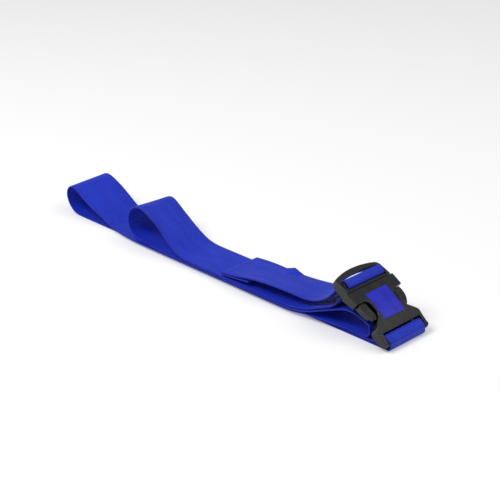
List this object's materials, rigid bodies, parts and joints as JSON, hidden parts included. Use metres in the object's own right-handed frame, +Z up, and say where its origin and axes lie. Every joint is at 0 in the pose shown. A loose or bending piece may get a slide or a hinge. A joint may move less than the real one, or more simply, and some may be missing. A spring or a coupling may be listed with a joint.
{
  "type": "gait belt",
  "caption": "Folded walking and transfer belt of wide flat webbing, sewn to a contoured side-release buckle with a ladder lock.",
  "frame": {"origin": "on the table, midway between the two ends of the folded belt, on the webbing's centre line", "axes": "+X along the folded belt towards the buckle, +Y across the webbing, +Z up"},
  "size_m": [0.46, 0.0638, 0.0519],
  "materials": {
    "webbing": "woven",
    "black_plastic": "gloss",
    "blue_plate": "gloss",
    "thread": "matte"
  },
  "bodies": {
    "belt": {"webbing_strap": "webbing", "buckle_receptacle": "black_plastic", "buckle_insert": "black_plastic", "face_plate": "blue_plate", "end_stitching": "thread", "hem_stitching": "thread"},
    "arm_near": {"release_arm_near": "black_plastic"},
    "arm_far": {"release_arm_far": "black_plastic"}
  },
  "joints": [
    {"name": "arm_near_flex", "type": "hinge", "parent": "belt", "child": "arm_near", "pos_m": [0.18312, -0.0205, 0.03775], "axis": [0.5793, 0, 0.8151], "range_deg": [0, 12], "stiffness_Nm_per_rad": 0.6},
    {"name": "arm_far_flex", "type": "hinge", "parent": "belt", "child": "arm_far", "pos_m": [0.18312, 0.0205, 0.03775], "axis": [-0.5793, 0, -0.8151], "range_deg": [0, 12], "stiffness_Nm_per_rad": 0.6}
  ]
}
